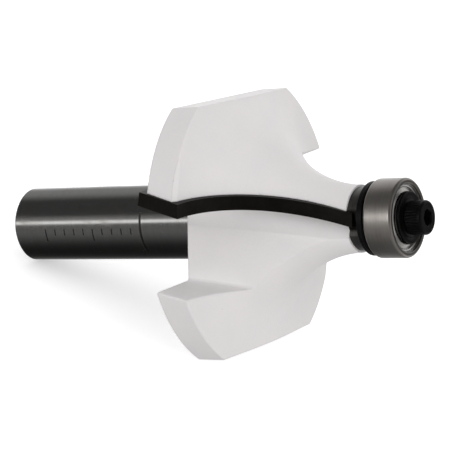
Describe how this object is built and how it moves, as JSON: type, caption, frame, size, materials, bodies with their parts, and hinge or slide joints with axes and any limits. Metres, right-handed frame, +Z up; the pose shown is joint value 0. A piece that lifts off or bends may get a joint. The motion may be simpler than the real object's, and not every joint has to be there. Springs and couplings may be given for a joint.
{
  "type": "router bit",
  "caption": "Round-over router bit lying on its side: half-inch shank, white head with carbide cutting edges, and a guide ball bearing held on the tip by a socket cap screw.",
  "frame": {"origin": "centre of the footprint of the bit as it lies, on the surface under it", "axes": "+X level, from the shank end towards the guide bearing, seen from above; +Z up; the bit's own axis lies in the XZ plane and rises 19.1 degrees towards +X"},
  "size_m": [0.0762, 0.05, 0.0406],
  "materials": {
    "coated_steel": "white slick coating on the head, bare ground steel on the shank and neck",
    "carbide": "ground cemented carbide, near black",
    "black_steel": "black oxide",
    "bearing_steel": "ground and polished",
    "shield_steel": "pressed sheet, bright",
    "cage_steel": "pressed ribbon"
  },
  "bodies": {
    "cutter": {"cutter_body": "coated_steel", "carbide_tip_1": "carbide", "carbide_tip_2": "carbide", "rear_washer": "black_steel", "bearing_inner_ring": "bearing_steel", "front_washer": "black_steel", "cap_screw": "black_steel"},
    "guide_ring": {"bearing_outer_ring": "bearing_steel", "bearing_shield_rear": "shield_steel", "bearing_shield_front": "shield_steel", "shield_clip_rear": "shield_steel", "shield_clip_front": "shield_steel"},
    "cage": {"bearing_cage_rear": "cage_steel", "bearing_cage_front": "cage_steel"},
    "ball_1_body": {"ball_1": "bearing_steel"},
    "ball_2_body": {"ball_2": "bearing_steel"},
    "ball_3_body": {"ball_3": "bearing_steel"},
    "ball_4_body": {"ball_4": "bearing_steel"},
    "ball_5_body": {"ball_5": "bearing_steel"},
    "ball_6_body": {"ball_6": "bearing_steel"},
    "ball_7_body": {"ball_7": "bearing_steel"}
  },
  "joints": [
    {"name": "guide_bearing_spin", "type": "hinge", "parent": "cutter", "child": "guide_ring", "pos_m": [0.03173, 0, 0.02939], "axis": [0.9448, 0, 0.3276], "continuous": true},
    {"name": "cage_orbit", "type": "hinge", "parent": "cutter", "child": "cage", "pos_m": [0.03173, 0, 0.02939], "axis": [0.9448, 0, 0.3276], "continuous": true},
    {"name": "ball_1_spin", "type": "hinge", "parent": "cage", "child": "ball_1_body", "pos_m": [0.03032, 0.0007, 0.03346], "axis": [0.9448, 0, 0.3276], "continuous": true},
    {"name": "ball_2_spin", "type": "hinge", "parent": "cage", "child": "ball_2_body", "pos_m": [0.03103, 0.0038, 0.03141], "axis": [0.9448, 0, 0.3276], "continuous": true},
    {"name": "ball_3_spin", "type": "hinge", "parent": "cage", "child": "ball_3_body", "pos_m": [0.03226, 0.00405, 0.02784], "axis": [0.9448, 0, 0.3276], "continuous": true},
    {"name": "ball_4_spin", "type": "hinge", "parent": "cage", "child": "ball_4_body", "pos_m": [0.0331, 0.00124, 0.02543], "axis": [0.9448, 0, 0.3276], "continuous": true},
    {"name": "ball_5_spin", "type": "hinge", "parent": "cage", "child": "ball_5_body", "pos_m": [0.0329, -0.0025, 0.026], "axis": [0.9448, 0, 0.3276], "continuous": true},
    {"name": "ball_6_spin", "type": "hinge", "parent": "cage", "child": "ball_6_body", "pos_m": [0.03182, -0.00436, 0.02912], "axis": [0.9448, 0, 0.3276], "continuous": true},
    {"name": "ball_7_spin", "type": "hinge", "parent": "cage", "child": "ball_7_body", "pos_m": [0.03067, -0.00293, 0.03244], "axis": [0.9448, 0, 0.3276], "continuous": true}
  ],
  "couplings": [
    {"joint": "cage_orbit", "follows": "guide_bearing_spin", "ratio": 0.63636},
    {"joint": "ball_1_spin", "follows": "guide_bearing_spin", "ratio": 1.697},
    {"joint": "ball_2_spin", "follows": "guide_bearing_spin", "ratio": 1.697},
    {"joint": "ball_3_spin", "follows": "guide_bearing_spin", "ratio": 1.697},
    {"joint": "ball_4_spin", "follows": "guide_bearing_spin", "ratio": 1.697},
    {"joint": "ball_5_spin", "follows": "guide_bearing_spin", "ratio": 1.697},
    {"joint": "ball_6_spin", "follows": "guide_bearing_spin", "ratio": 1.697},
    {"joint": "ball_7_spin", "follows": "guide_bearing_spin", "ratio": 1.697}
  ]
}
